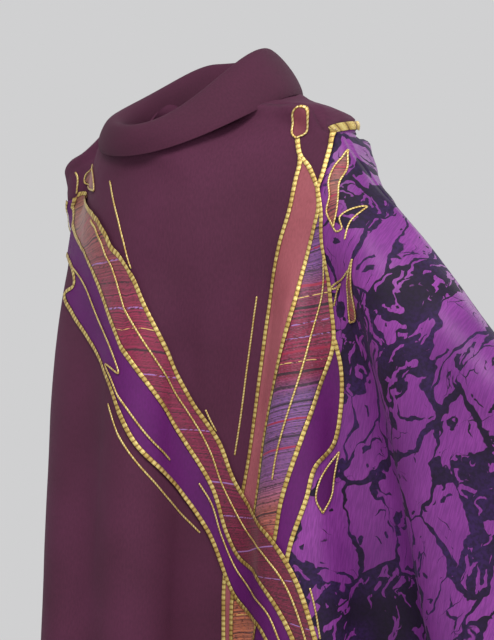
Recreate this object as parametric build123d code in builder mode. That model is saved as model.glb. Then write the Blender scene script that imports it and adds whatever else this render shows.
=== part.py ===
"""Chasuble with a soft rolled collar, as it hangs on the wearer.

Every cloth piece is cut in the pattern, where "across" runs from the centre front towards the
wearer's left and "down" runs from the neck point towards the hem. The function drape() carries a
pattern point to its place in space. The front faces -Y and +X is the wearer's left. The origin is
the middle of the neckline, level with the neck points of the two shoulder seams.
All sizes are in millimetres.
"""

import math
import os

from build123d import *

os.makedirs("parts", exist_ok=True)

# The cut of the garment
HALF_WIDTH = 740            # centre front to the side edge, along the cloth
SHOULDER_FALL = 0.404       # drop of the shoulder seam for each millimetre across
SIDE_END = 740              # where the side edge ends, below the neck point
LENGTH = 1250               # where the hem ends at the centre
HEM_CORNER = 2.5            # exponent of the rounded hem corners
NECK_HALF = 96              # half width of the neckline
NECK_FRONT_DROP = 135
NECK_BACK_DROP = 90
NECK_CORNER = 2.6           # exponent of the neckline's curve
SEAM_TOP = 242              # the seam of the patterned side panel at the shoulder
SEAM_LOW = 300              # the same seam near the hem
SEAM_CURVE = 200            # how quickly the seam swings from one to the other

# Cloth thicknesses and the clear space between layers
CLOTH = 1.0
LINING = 0.8
APPLIQUE = 0.6
INTERLINING = 0.6
BRAID = 1.2
CORD = 1.6
GAP = 0.8
SEAM_GAP = 2.4
SHOULDER_GAP = 10.0         # between the two panels' edges, over the shoulder tape
INSIDE = -CLOTH - 3.5       # where the tapes and facings start, under the cloth

# Widths of the trimmings
BRAID_WIDTH = 6.0
CORD_WIDTH = 2.6
FACING_WIDTH = 30
FACING_REACH = 0.6          # share of the half width that the hem facing covers
FACING_INSET = 8
TAPE_WIDTH = 14
BAND_INSET = 0.02           # share of a band's width left free beside each braid

# Heights above the cloth where each kind of trimming starts
LOWER_BAND = 1.8
ON_CLOTH = 3.0
UPPER_BAND = 5.2
ON_UPPER_BAND = 6.4

# The collar's three loops: neck seam, top fold and free edge
COLLAR_GAP = 0.02           # radians left open on each side of the centre back
COLLAR_ROLL = (9, 21)       # how far the top fold rolls outwards, wearer's left and right
COLLAR_BEND = 0.42          # share of the profile between the neck seam and the top fold

# How the garment lies on the wearer
CREST_HEIGHT = 18           # top of the shoulder line above the neck points, at the centre
NAPE_RISE = 34              # how much higher the back of the neck stands
SHOULDER_END = 215          # along the shoulder seam
LEFT_ARM_SLOPE = 46         # degrees below level
RIGHT_ARM_SLOPE = 64
RIGHT_ARM_BACK = 36         # degrees that the right arm points behind
CHEST_TURN = (65, 230)      # stretch of cloth over which the chest turns from slope to drop
ARM_TURN = (0, 95)
STEP = 5                    # length of one step along a draped line

FRONT = 1
BACK = -1


def smooth(value, start, end):
    """0 before start, 1 after end, and an even swing between them."""
    share = min(1.0, max(0.0, (value - start) / (end - start)))
    return share * share * (3 - 2 * share)


def mix(first, second, share):
    return first + (second - first) * share


def shoulder(across):
    return abs(across) * SHOULDER_FALL


def hem(across):
    share = min(1.0, abs(across) / HALF_WIDTH)
    return SIDE_END + (LENGTH - SIDE_END) * (1 - share**HEM_CORNER) ** (1 / HEM_CORNER)


def seam(down):
    """Where the seam of the patterned side panel runs."""
    top = shoulder(SEAM_TOP)
    return SEAM_LOW - (SEAM_LOW - SEAM_TOP) * math.exp(-max(0, down - top) / SEAM_CURVE)


def walk_crest(side):
    """Points of the shoulder and arm line, one for each STEP of cloth across."""
    x, y, z = 0.0, 0.0, float(CREST_HEIGHT)
    points = [(x, y, z, 0.0)]
    stretch = math.hypot(1, SHOULDER_FALL)
    arm_slope = LEFT_ARM_SLOPE if side > 0 else RIGHT_ARM_SLOPE
    arm_back = 0 if side > 0 else RIGHT_ARM_BACK
    for number in range(int(HALF_WIDTH / STEP) + 2):
        along = (number + 0.5) * STEP * stretch
        bend = smooth(along, SHOULDER_END - 70, SHOULDER_END + 70)
        slope = math.radians(mix(mix(0, 14, smooth(along, 0, 90)), arm_slope, bend))
        turn = math.radians(arm_back * bend)
        x += side * math.cos(slope) * math.cos(turn) * STEP * stretch
        y += math.cos(slope) * math.sin(turn) * STEP * stretch
        z -= math.sin(slope) * STEP * stretch
        points.append((x, y, z, turn))
    return points


CREST = {1: walk_crest(1), -1: walk_crest(-1)}


def crest(across):
    """The crest point above a pattern column, and the way that the arm turns there."""
    points = CREST[1 if across >= 0 else -1]
    place = abs(across) / STEP
    number = min(int(place), len(points) - 2)
    first, second = points[number], points[number + 1]
    return [mix(a, b, place - number) for a, b in zip(first, second)]


def fall_profile(arm, face, flare, down):
    """How far out and how far down a column of cloth goes."""
    start = mix(CHEST_TURN[0], ARM_TURN[0], arm)
    end = mix(CHEST_TURN[1], ARM_TURN[1], arm)
    if face == BACK:
        start, end = 0.55 * start, 0.8 * end
    first_slope = mix(26 if face == FRONT else 4, 12, arm)
    last_slope = 90 - math.degrees(math.atan(flare))
    out, drop, done = 0.0, 0.0, 0.0
    while done < down:
        piece = min(STEP, down - done)
        angle = math.radians(mix(first_slope, last_slope, smooth(done + piece / 2, start, end)))
        out += math.cos(angle) * piece
        drop += math.sin(angle) * piece
        done += piece
    return out, drop


def drape_bare(across, down, face):
    """The place in space of a pattern point on the cloth's outer side."""
    x, y, z, turn = crest(across)
    if face == BACK:
        z += NAPE_RISE * (1 - smooth(abs(across), 0, NECK_HALF))
    arm = smooth(abs(across), 170, 300)
    swing = math.exp(-(((across + 120) / 130) ** 2))
    flare = 0.045 + 0.105 * swing if face == FRONT else 0.078 + 0.05 * swing
    below = max(0.0, down - shoulder(across))
    out, drop = fall_profile(arm, face, flare, below)
    side = 1 if across >= 0 else -1
    lean = side * 0.12 * arm * below if side > 0 else 0
    return Vector(
        x - lean + face * side * math.sin(turn) * out,
        y - face * math.cos(turn) * out,
        z - drop,
    )


def drape(across, down, face, lift=0.0):
    """The place of a pattern point, lifted off the outer side of the cloth."""
    place = drape_bare(across, down, face)
    if lift == 0:
        return place
    small = 2.0
    sideways = drape_bare(across + small, down, face) - drape_bare(across - small, down, face)
    downward = drape_bare(across, down + small, face) - drape_bare(across, down, face)
    outward = downward.cross(sideways) * face
    return place + outward.normalized() * lift


def surface(place, rows, columns, lift):
    """A smooth face through the points that place(u, v) gives, with u and v from 0 to 1."""
    grid = [
        [place(row / (rows - 1), column / (columns - 1), lift) for column in range(columns)]
        for row in range(rows)
    ]
    return Face.make_surface_from_array_of_points(
        grid, tol=0.01, smoothing=(1, 0.1, 0.01), max_deg=8
    )


def cloth(place, rows, columns, lift, thickness):
    """A piece of cloth between two offset faces, closed along its four edges."""
    inner = surface(place, rows, columns, lift)
    outer = surface(place, rows, columns, lift + thickness)
    sides = []
    for edge in inner.edges():
        mate = min(outer.edges(), key=lambda other: (other.center() - edge.center()).length)
        sides.append(Face.make_surface_from_curves(edge, mate))
    return Solid(Shell([inner, outer, *sides]))


def save(part, node):
    part.label = node
    export_step(part, f"parts/{node}.step")


# ---------------------------------------------------------------------------------------------
# Body panels
# ---------------------------------------------------------------------------------------------
def side_seam(v):
    """Across position of the side-panel seam at v from the shoulder to the hem."""
    return seam(mix(shoulder(SEAM_TOP), hem(SEAM_LOW), v))


def neckline(across, face):
    """How far the neckline is cut down from the shoulder line."""
    share = min(1.0, abs(across) / NECK_HALF)
    drop = NECK_FRONT_DROP if face == FRONT else NECK_BACK_DROP
    return drop * (1 - share**NECK_CORNER)


def towards_edge(u):
    """Crowds grid lines towards the rounded side edge, at u of 0."""
    return 1 - math.cos(math.pi / 2 * u)


def panel_place(face, patterned):
    """Maps u across and v down one body panel."""

    def place(u, v, lift):
        if patterned:
            across = mix(HALF_WIDTH, side_seam(v) + SEAM_GAP / 2, towards_edge(u))
        else:
            across = mix(-HALF_WIDTH, side_seam(v) - SEAM_GAP / 2, towards_edge(u))
        top = shoulder(across) + neckline(across, face) + SHOULDER_GAP / 2
        return drape(across, mix(top, hem(across), v), face, lift)

    return place


with BuildPart() as front_body_panel:
    add(cloth(panel_place(FRONT, patterned=False), 44, 34, -CLOTH, CLOTH))
save(front_body_panel.part, "front_body_panel")

with BuildPart() as back_body_panel:
    add(cloth(panel_place(BACK, patterned=False), 44, 34, -CLOTH, CLOTH))
save(back_body_panel.part, "back_body_panel")

with BuildPart() as front_side_panel:
    add(cloth(panel_place(FRONT, patterned=True), 26, 30, -CLOTH, CLOTH))
save(front_side_panel.part, "front_side_panel")

with BuildPart() as back_side_panel:
    add(cloth(panel_place(BACK, patterned=True), 26, 30, -CLOTH, CLOTH))
save(back_side_panel.part, "back_side_panel")


# ---------------------------------------------------------------------------------------------
# Tapes and facings inside the garment
# ---------------------------------------------------------------------------------------------
def inside_tape(node, place, rows):
    with BuildPart() as tape:
        add(cloth(place, rows, 4, INSIDE - LINING, LINING))
    save(tape.part, node)


def tape_on_side_seam(face):
    """Maps u down the side-panel seam and v across the tape inside it."""

    def place(u, v, lift):
        share = mix(0.08, 0.93, u)
        across = side_seam(share) + TAPE_WIDTH * (v - 0.5)
        return drape(across, mix(shoulder(SEAM_TOP), hem(SEAM_LOW), share), face, lift)

    return place


def hem_facing(face):
    """Maps u along the hem and v from the facing's free edge to the hem."""

    def place(u, v, lift):
        across = HALF_WIDTH * FACING_REACH * (2 * u - 1)
        down = hem(across) - FACING_INSET - FACING_WIDTH * (1 - v)
        return drape(across, down, face, lift)

    return place


def shoulder_tape(side):
    """Maps u along a shoulder seam, just in front of it, and v down from the seam."""

    def place(u, v, lift):
        across = side * mix(130, 600, u)
        return drape(across, shoulder(across) + mix(8, 8 + TAPE_WIDTH, v), FRONT, lift)

    return place


inside_tape("front_seam_tape", tape_on_side_seam(FRONT), 26)
inside_tape("back_seam_tape", tape_on_side_seam(BACK), 26)
inside_tape("front_hem_facing", hem_facing(FRONT), 30)
inside_tape("back_hem_facing", hem_facing(BACK), 30)
inside_tape("shoulder_tape_right", shoulder_tape(-1), 26)
inside_tape("shoulder_tape_left", shoulder_tape(1), 26)


# ---------------------------------------------------------------------------------------------
# Collar: a deep band folded outwards over itself, higher at the back than at the front
# ---------------------------------------------------------------------------------------------
def rise(angle, speed):
    """0 at the centre front and 1 at the back of a loop, reached sooner at a higher speed."""
    return (1 - math.cos(min(math.pi, speed * abs(angle)))) / 2


def neck_loop(angle):
    """Where the collar is sewn into the neckline; the angle is 0 at the centre front."""
    s, c = math.sin(angle), math.cos(angle)
    return Vector(92 * s, -90 * c - 12 * c * c, 8 - 45 * c - 9 * c * c)


def fold_loop(angle):
    """The top fold of the collar."""
    s, c = math.sin(angle), math.cos(angle)
    return Vector((109 - 9 * s) * s, -127 * c - 15 * c * c, -28 + 124 * rise(angle, 1.3 + 0.3 * s))


def edge_loop(angle):
    """The free edge of the collar."""
    s, c = math.sin(angle), math.cos(angle)
    return Vector((152 + 8 * s) * s, -139 * c - 11 * c * c, -62 + 92 * rise(angle, 1.45 + 0.15 * s))


def bezier(first, second, third, fourth, t):
    r = 1 - t
    return first * r**3 + second * (3 * r * r * t) + third * (3 * r * t * t) + fourth * t**3


def collar_bare(u, v):
    angle = mix(-math.pi + COLLAR_GAP, math.pi - COLLAR_GAP, u)
    neck, fold, edge = neck_loop(angle), fold_loop(angle), edge_loop(angle)
    outward = Vector(edge.X - neck.X, edge.Y - neck.Y, 0).normalized()
    roll = mix(COLLAR_ROLL[1], COLLAR_ROLL[0], (1 + math.sin(angle)) / 2)
    if v < COLLAR_BEND:
        height = Vector(0, 0, 0.55 * (fold.Z - neck.Z))
        return bezier(neck, neck + height, fold - outward * roll * 0.7, fold, v / COLLAR_BEND)
    height = Vector(0, 0, 0.4 * (fold.Z - edge.Z))
    share = (v - COLLAR_BEND) / (1 - COLLAR_BEND)
    return bezier(fold, fold + outward * roll, edge + height, edge, share)


def collar_place(first, last):
    """Maps u around the collar and v over its profile between two shares of it."""

    def place(u, v, lift):
        w = mix(first, last, v)
        small = 0.004
        around = collar_bare(min(1, u + small), w) - collar_bare(max(0, u - small), w)
        over = collar_bare(u, min(1, w + small)) - collar_bare(u, max(0, w - small))
        return collar_bare(u, w) - around.cross(over).normalized() * lift

    return place


for node, first, last, lift, thickness in (
    ("collar_outer_cloth", 0.0, 1.0, 0.0, CLOTH),
    ("collar_interlining", 0.04, 0.96, -GAP - INTERLINING, INTERLINING),
    ("collar_under_cloth", 0.035, 1.0, -2 * GAP - INTERLINING - CLOTH, CLOTH),
):
    with BuildPart() as collar_layer:
        add(cloth(collar_place(first, last), 45, 19, lift, thickness))
    save(collar_layer.part, node)


# ---------------------------------------------------------------------------------------------
# Bands sewn on the front, each between two edges drawn in the pattern as (across, down)
# ---------------------------------------------------------------------------------------------
def curve(points):
    return Spline(*points) if len(points) > 2 else Line(*points)


def band_between(left, right):
    """Maps u along a band and v from its left edge to its right edge."""
    left_edge, right_edge = curve(left), curve(right)

    def place(u, v, lift):
        share = mix(BAND_INSET, 1 - BAND_INSET, v)
        point = left_edge.position_at(u) * (1 - share) + right_edge.position_at(u) * share
        return drape(point.X, point.Y, FRONT, lift)

    return place


def rows_for(points):
    """Enough grid rows for the length of a line."""
    return max(8, int(curve(points).length / 22))


def line_along(points, width):
    """Maps u along a line and v across the braid or cord on it."""
    middle = curve(points)

    def place(u, v, lift):
        point, way = middle.position_at(u), middle.tangent_at(u)
        aside = width * (v - 0.5)
        return drape(point.X - way.Y * aside, point.Y + way.X * aside, FRONT, lift)

    return place


BRIDGE_LEFT = [
    (-190, 195), (-150, 240), (-107, 278), (-56, 338), (13, 427), (84, 520), (143, 599),
    (172, 661), (196, 692), (249, 710), (295, 740), (330, 790), (355, 860), (372, 940),
]
BRIDGE_RIGHT = [
    (-160, 186), (-112, 220), (-63, 255), (-3, 305), (56, 398), (96, 463), (135, 519),
    (178, 590), (219, 628), (276, 660), (315, 700), (352, 775), (380, 850), (396, 930),
]
WAVE_OUTER = [
    (-204, 212), (-192, 262), (-162, 307), (-138, 350), (-95, 392), (-19, 463),
    (29, 548), (98, 610), (143, 663), (190, 744), (224, 763), (272, 778), (318, 832),
    (344, 900), (358, 950),
]
WAVE_INNER = [
    (-197, 205), (-156, 247), (-112, 285), (-62, 344), (7, 433), (78, 526),
    (137, 604), (166, 666), (191, 698), (245, 717), (289, 747), (324, 796), (349, 865),
    (362, 925), (366, 945),
]
ROSE_LEFT = [
    (221, 142), (227, 190), (219, 267), (207, 346), (202, 431), (197, 555), (182, 650),
    (172, 716), (175, 790), (186, 900), (195, 1040), (196, 1150),
]
ROSE_RIGHT = [
    (225, 142), (262, 192), (272, 235), (262, 342), (247, 444), (232, 537), (212, 640),
    (188, 724), (187, 800), (200, 900), (214, 1040), (216, 1150),
]
BROCADE_RIGHT = [
    (270, 192), (292, 251), (313, 329), (325, 392), (306, 491), (288, 563), (280, 640),
    (264, 740), (244, 800), (246, 900), (268, 1040), (284, 1150),
]
BROCADE_LEFT = [
    (266, 192), (275, 235), (265, 342), (250, 444), (235, 537), (215, 640), (192, 724),
    (191, 800), (204, 900), (218, 1040), (221, 1150),
]
LEFT_WAVE_OUTER = [
    (330, 396), (347, 445), (348, 500), (322, 550), (316, 600), (304, 665), (300, 760),
    (302, 860), (318, 1000), (330, 1100),
]
LEFT_WAVE_INNER = [
    (325, 400), (322, 440), (309, 491), (291, 565), (283, 640), (274, 700), (262, 765),
    (250, 830), (262, 980), (282, 1100),
]
TABLET_LEFT = [(198, 92), (199, 108), (209, 119)]
TABLET_RIGHT = [(206, 90), (214, 98), (216, 114)]
SHOULDER_LEAF_LEFT = [(-166, 126), (-184, 136), (-182, 152), (-140, 178), (-101, 199)]
SHOULDER_LEAF_RIGHT = [(-164, 127), (-138, 147), (-118, 168), (-104, 184), (-99, 197)]
CRESCENT_LEFT = [(276, 122), (270, 145), (274, 168), (285, 200), (306, 227)]
CRESCENT_RIGHT = [(279, 121), (287, 144), (290, 170), (298, 196), (309, 226)]
SMALL_LEAF_LEFT = [(356, 263), (350, 300), (345, 329), (350, 355)]
SMALL_LEAF_RIGHT = [(358, 263), (362, 308), (361, 340), (352, 356)]
TEARDROP_LEFT = [(354, 530), (334, 566), (330, 594), (339, 609)]
TEARDROP_RIGHT = [(357, 530), (354, 562), (351, 590), (342, 610)]

BANDS = {
    "rose_band": (ROSE_LEFT, ROSE_RIGHT, LOWER_BAND),
    "left_brocade_band": (BROCADE_LEFT, BROCADE_RIGHT, LOWER_BAND),
    "left_wave": (LEFT_WAVE_INNER, LEFT_WAVE_OUTER, LOWER_BAND),
    "right_brocade_band": (BRIDGE_LEFT, BRIDGE_RIGHT, UPPER_BAND),
    "right_wave": (WAVE_OUTER, WAVE_INNER, UPPER_BAND),
    "rose_tablet": (TABLET_LEFT, TABLET_RIGHT, LOWER_BAND),
    "shoulder_leaf": (SHOULDER_LEAF_LEFT, SHOULDER_LEAF_RIGHT, LOWER_BAND),
    "crescent_leaf": (CRESCENT_LEFT, CRESCENT_RIGHT, LOWER_BAND),
    "small_leaf": (SMALL_LEAF_LEFT, SMALL_LEAF_RIGHT, LOWER_BAND),
    "teardrop_leaf": (TEARDROP_LEFT, TEARDROP_RIGHT, LOWER_BAND),
}

for node, (left, right, lift) in BANDS.items():
    with BuildPart() as band:
        add(cloth(band_between(left, right), rows_for(left), 5, lift, APPLIQUE))
    save(band.part, node)


# ---------------------------------------------------------------------------------------------
# Gold braids and couched cords over the edges of the bands and on the cloth
# ---------------------------------------------------------------------------------------------
def shifted(points, aside, first=0, last=None):
    """The same line, moved across the pattern."""
    return [(across + aside, down) for across, down in points[first:last]]


BRAIDS = {
    "bridge_left_braid": (shifted(BRIDGE_LEFT, -3), ON_UPPER_BAND),
    "bridge_right_braid": (shifted(BRIDGE_RIGHT, 2), ON_UPPER_BAND),
    "wave_braid": (shifted(WAVE_OUTER, -2), ON_UPPER_BAND),
    "rose_braid": (shifted(ROSE_LEFT, -3), ON_CLOTH),
    "brocade_left_braid": (shifted(BROCADE_LEFT, -2), ON_CLOTH),
    "brocade_right_braid": (shifted(BROCADE_RIGHT, 1), ON_CLOTH),
    "left_wave_braid": (shifted(LEFT_WAVE_OUTER, 3, 1), ON_CLOTH),
    "seam_braid": ([(227, 108), (246, 116), (254, 136), (259, 166), (264, 182)], ON_CLOTH),
    "rose_stem_braid": ([(213, 124), (217, 132), (232, 148), (250, 166), (260, 180)], ON_CLOTH),
}
CORDS = {
    "bridge_centre_cord": (
        [(-93, 236), (-46, 285), (29, 397), (103, 502), (156, 589), (205, 655), (266, 682),
         (309, 722), (345, 788), (372, 870)],
        ON_UPPER_BAND,
    ),
    "upper_wave_cord": (
        [(-161, 290), (-118, 318), (-80, 360), (-20, 430), (40, 520), (76, 572)],
        ON_UPPER_BAND,
    ),
    "lower_wave_cord": (
        [(120, 604), (146, 645), (172, 700), (200, 732), (262, 756), (303, 792)],
        ON_UPPER_BAND,
    ),
    "brocade_centre_cord": (
        [(290, 268), (299, 325), (291, 381), (280, 466), (266, 560)],
        ON_CLOTH,
    ),
    "chest_cord": ([(187, 332), (180, 433), (176, 503), (172, 553)], ON_CLOTH),
    "upper_plum_cord": ([(-57, 199), (-36, 228), (-18, 262), (-1, 298)], ON_CLOTH),
    "lower_plum_cord": ([(-30, 485), (10, 545), (63, 606), (131, 668)], ON_CLOTH),
    "short_cord": ([(126, 487), (134, 502), (146, 512)], ON_CLOTH),
    "shoulder_cord": ([(-199, 110), (-198, 125), (-204, 146)], ON_CLOTH),
    "shoulder_leaf_cord": (shifted(SHOULDER_LEAF_LEFT, 0), ON_CLOTH),
    "tablet_cord": ([(204, 87), (213, 94), (218, 112)], ON_CLOTH),
    "crescent_left_cord": (shifted(CRESCENT_LEFT, -2), ON_CLOTH),
    "crescent_right_cord": (shifted(CRESCENT_RIGHT, 2), ON_CLOTH),
    "loop_cord": ([(310, 219), (320, 227), (330, 214), (337, 190)], ON_CLOTH),
    "fork_cord": ([(354, 276), (339, 290), (322, 300), (313, 309)], ON_CLOTH),
    "small_leaf_left_cord": (shifted(SMALL_LEAF_LEFT, -2), ON_CLOTH),
    "small_leaf_right_cord": (shifted(SMALL_LEAF_RIGHT, 2), ON_CLOTH),
    "teardrop_left_cord": (shifted(TEARDROP_LEFT, -2), ON_CLOTH),
    "teardrop_right_cord": (shifted(TEARDROP_RIGHT, 2), ON_CLOTH),
    "low_cord": ([(400, 700), (408, 735), (420, 780)], ON_CLOTH),
}

for node, (points, lift) in BRAIDS.items():
    with BuildPart() as braid:
        add(cloth(line_along(points, BRAID_WIDTH), rows_for(points), 4, lift, BRAID))
    save(braid.part, node)

for node, (points, lift) in CORDS.items():
    with BuildPart() as cord:
        add(cloth(line_along(points, CORD_WIDTH), rows_for(points), 4, lift, CORD))
    save(cord.part, node)
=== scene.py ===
"""The looks of a chasuble with a soft rolled collar, hanging as it does on a wearer.

Each piece of cloth is cut in one pattern: "across" runs from the centre front towards the
wearer's left and "down" from the neck point towards the hem, in metres. The whole garment is
draped once over a hidden figure, and read_cloth() then gives the place of any pattern point, so
the panels, bands, braids and cords all lie on the same folds.
"""

import math

import bmesh
import bpy
import numpy as np
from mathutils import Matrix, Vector


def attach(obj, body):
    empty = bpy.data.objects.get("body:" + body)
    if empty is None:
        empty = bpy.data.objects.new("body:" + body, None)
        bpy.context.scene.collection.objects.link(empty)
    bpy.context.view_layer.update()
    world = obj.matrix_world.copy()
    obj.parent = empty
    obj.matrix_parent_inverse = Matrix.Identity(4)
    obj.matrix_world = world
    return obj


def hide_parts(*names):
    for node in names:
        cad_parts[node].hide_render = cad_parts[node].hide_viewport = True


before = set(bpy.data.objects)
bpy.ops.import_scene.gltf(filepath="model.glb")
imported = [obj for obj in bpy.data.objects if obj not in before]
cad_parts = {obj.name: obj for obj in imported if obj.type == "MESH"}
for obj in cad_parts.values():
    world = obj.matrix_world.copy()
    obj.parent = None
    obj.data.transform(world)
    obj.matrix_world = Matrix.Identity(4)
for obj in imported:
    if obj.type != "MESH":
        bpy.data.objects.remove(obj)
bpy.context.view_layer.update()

FRONT = 1
BACK = -1

# The cut
HALF_WIDTH = 0.74
SHOULDER_FALL = math.tan(math.radians(22))
SIDE_END = 0.74
LENGTH = 1.25
HEM_CORNER = 2.5
NECK_HALF = 0.100
NECK_DROP = {FRONT: 0.125, BACK: 0.080}
CELL = 0.022


def shoulder(across):
    return np.abs(across) * SHOULDER_FALL


def hem(across):
    share = np.minimum(1.0, np.abs(across) / HALF_WIDTH)
    return SIDE_END + (LENGTH - SIDE_END) * (1 - share**HEM_CORNER) ** (1 / HEM_CORNER)


def seam(down, side):
    """Across position of the seam between the plain body and the patterned side."""
    below = np.maximum(0, down - 0.101)
    if side == BACK:
        return 0.203 + 0.047 * np.exp(-below / 0.014)
    return 0.300 - 0.050 * np.exp(-below / 0.20)


def mix(first, second, share):
    return first + (second - first) * share


def smooth(share):
    share = min(1.0, max(0.0, share))
    return share * share * (3 - 2 * share)


# Draping: front and back as one cloth, held at the neckline
COLUMNS = round(2 * HALF_WIDTH / CELL)
COLUMN_ACROSS = np.linspace(-HALF_WIDTH, HALF_WIDTH, COLUMNS + 1)
ROWS = [max(2, round((hem(a) - shoulder(a)) / CELL)) for a in COLUMN_ACROSS]
RING = {"across": 0.100, FRONT: 0.118, BACK: 0.092, "tilt": math.tan(math.radians(24))}
SPREAD = math.radians(14)
ARM_BACK = math.radians(30)
FRAMES = 95
CAMERA_TURN = math.radians(38)
RIGHT_SINK = 0.042
LEFT_SINK = 0.018
SKIN_TURNS = 300
CALM_TURNS = 40


def pattern_of(key):
    """The pattern point of one corner (side, column, row) of the cloth's grid."""
    side, column, row = key
    across = COLUMN_ACROSS[column]
    return across, mix(shoulder(across), hem(across), row / ROWS[column])


def in_neck(key):
    across, down = pattern_of(key)
    return (across / NECK_HALF) ** 2 + (down / NECK_DROP[key[0]]) ** 2


def cloth_cells():
    """The cells of both sides as tuples of corner keys; the two sides share the shoulder line."""
    cells = []
    for side in (FRONT, BACK):
        for column in range(COLUMNS):
            here, there = ROWS[column], ROWS[column + 1]
            level = min(here, there)
            corners = [
                [(column, j), (column + 1, j), (column + 1, j + 1), (column, j + 1)]
                for j in range(level)
            ]
            corners += [
                [(column, here), (column + 1, j), (column + 1, j + 1)] for j in range(level, there)
            ]
            corners += [
                [(column, j), (column + 1, there), (column, j + 1)] for j in range(level, here)
            ]
            for cell in corners:
                if sum(in_neck((side, *corner)) for corner in cell) / len(cell) < 1.0:
                    continue
                keys = [(FRONT if row == 0 else side, col, row) for col, row in cell]
                cells.append(keys[::-1] if side == FRONT else keys)
    return cells


def ridge(across):
    """Where the shoulder line passes before draping, with the right arm turned back."""
    steps = 40
    x = y = turn = 0.0
    side = 1 if across >= 0 else -1
    for number in range(steps):
        along = abs(across) * (number + 0.5) / steps
        turn = ARM_BACK * smooth((along - 0.12) / 0.22) if across < 0 else 0.0
        x += side * math.cos(turn) * abs(across) / steps
        y += math.sin(turn) * abs(across) / steps
    return x, y, side * math.sin(turn), math.cos(turn)


def tent_place(key, straight):
    across, down = pattern_of(key)
    x, y, sideways, forwards = (across, 0.0, 0.0, 1.0) if straight else ridge(across)
    drop = down - shoulder(across)
    out = key[0] * drop * math.sin(SPREAD)
    height = 0.03 - shoulder(across) - drop * math.cos(SPREAD)
    return (x + sideways * out, y - forwards * out, height)


def neckline_pins(cells, keys):
    """The neckline's corners and where the collar seam holds each of them."""
    edges = {}
    for cell in cells:
        for first, second in zip(cell, cell[1:] + cell[:1]):
            edge = frozenset((first, second))
            edges[edge] = edges.get(edge, 0) + 1
    rim = {key for edge, count in edges.items() if count == 1 for key in edge}
    pins = {}
    for number, key in enumerate(keys):
        across, down = pattern_of(key)
        if key not in rim or abs(across) > NECK_HALF * 1.4 or down > NECK_DROP[FRONT] * 1.4:
            continue
        angle = math.atan2(down / NECK_DROP[key[0]], across / NECK_HALF)
        x = RING["across"] * math.cos(angle)
        y = -key[0] * RING[key[0]] * math.sin(angle)
        pins[number] = (x, y, y * RING["tilt"])
    return pins


def moved_to_ring(places, keys, pins):
    """The start shape, pulled so that the neckline lies on the neck ring."""
    flat = np.array([pattern_of(key) for key in keys])
    sides = np.array([key[0] for key in keys])
    numbers = np.array(list(pins))
    targets = np.array([pins[number] for number in numbers])
    moves = targets - places[numbers]
    moved = places.copy()
    for number in range(len(places)):
        gap = np.linalg.norm(flat[number] - flat[numbers], axis=1)
        gap += (sides[number] != sides[numbers]) * 0.15
        weight = np.exp(-((gap / 0.03) ** 2)) + 1e-12
        share = math.exp(-((gap.min() / 0.15) ** 2))
        moved[number] += share * (moves * weight[:, None]).sum(0) / weight.sum()
    moved[numbers] = targets
    return moved


def add_ball(mesh, centre, radii):
    made = bmesh.ops.create_icosphere(mesh, subdivisions=3, radius=1.0)
    for vert in made["verts"]:
        vert.co = Vector(c + v * r for c, v, r in zip(centre, vert.co, radii))


def add_limb(mesh, start, end, first, last, count=12):
    for number in range(count + 1):
        share = number / count
        radius = mix(first, last, share)
        add_ball(mesh, Vector(start).lerp(Vector(end), share), (radius, radius, radius))


def hidden_figure():
    """Shoulders, arms and trunk that the cloth falls over. It is removed after draping."""
    mesh = bmesh.new()
    levels = 23
    for number in range(levels + 1):
        t = number / levels
        width = 0.165 + 0.02 * math.sin(math.pi * min(1, t * 1.6)) - 0.02 * t
        depth = 0.095 + 0.045 * math.sin(math.pi * min(1, t * 1.4 + 0.15))
        add_ball(mesh, (0, -0.005, -0.06 - 0.62 * t), (width, depth, 0.06))
    for side in (-1, 1):
        add_limb(mesh, (side * 0.03, 0.02, 0.0), (side * 0.19, 0.015, -0.065), 0.055, 0.055, 10)
    add_limb(mesh, (0.19, 0.015, -0.07), (0.39, -0.02, -0.32), 0.055, 0.045)
    add_limb(mesh, (0.39, -0.02, -0.32), (0.56, -0.06, -0.42), 0.045, 0.035)
    add_limb(mesh, (0.20, -0.02, -0.50), (0.25, -0.03, -0.95), 0.06, 0.10, 14)
    add_limb(mesh, (-0.19, 0.015, -0.08), (-0.215, 0.06, -0.36), 0.055, 0.05)
    add_limb(mesh, (-0.215, 0.06, -0.36), (-0.22, 0.05, -0.50), 0.05, 0.045)
    add_limb(mesh, (-0.10, -0.06, -0.40), (-0.10, -0.075, -1.0), 0.07, 0.09, 14)
    figure = new_object("figure", mesh)
    remesh = figure.modifiers.new("skin", "REMESH")
    remesh.mode = "VOXEL"
    remesh.voxel_size = 0.012
    soften = figure.modifiers.new("soften", "SMOOTH")
    soften.iterations = 12
    soften.factor = 0.6
    graph = bpy.context.evaluated_depsgraph_get()
    skin = bpy.data.meshes.new_from_object(figure.evaluated_get(graph))
    figure.modifiers.clear()
    figure.data = skin
    collide(figure, 3)
    figure.collision.damping = 0.6
    return figure


def arranging_board():
    """A board that sweeps the right side of the cloth in towards the body, then stays still."""
    right = Vector((math.cos(CAMERA_TURN), math.sin(CAMERA_TURN), 0))
    away = Vector((-math.sin(CAMERA_TURN), math.cos(CAMERA_TURN), 0))
    mesh = bmesh.new()
    bmesh.ops.create_cube(mesh, size=1.0)
    for vert in mesh.verts:
        x, y, z = vert.co
        vert.co = right * (x * 0.04) + away * (y * 1.8) + Vector((0, 0, z * 1.6 - 0.85))
    bmesh.ops.subdivide_edges(mesh, edges=mesh.edges[:], cuts=10, use_grid_fill=True)
    board = new_object("board", mesh)
    collide(board, 0)
    for time, offset in ((1, -0.72), (55, -0.256), (500, -0.256)):
        board.location = right * offset
        board.keyframe_insert("location", frame=time)
    for curve in board.animation_data.action.fcurves:
        for key in curve.keyframe_points:
            key.interpolation = "LINEAR"
    return board


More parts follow.
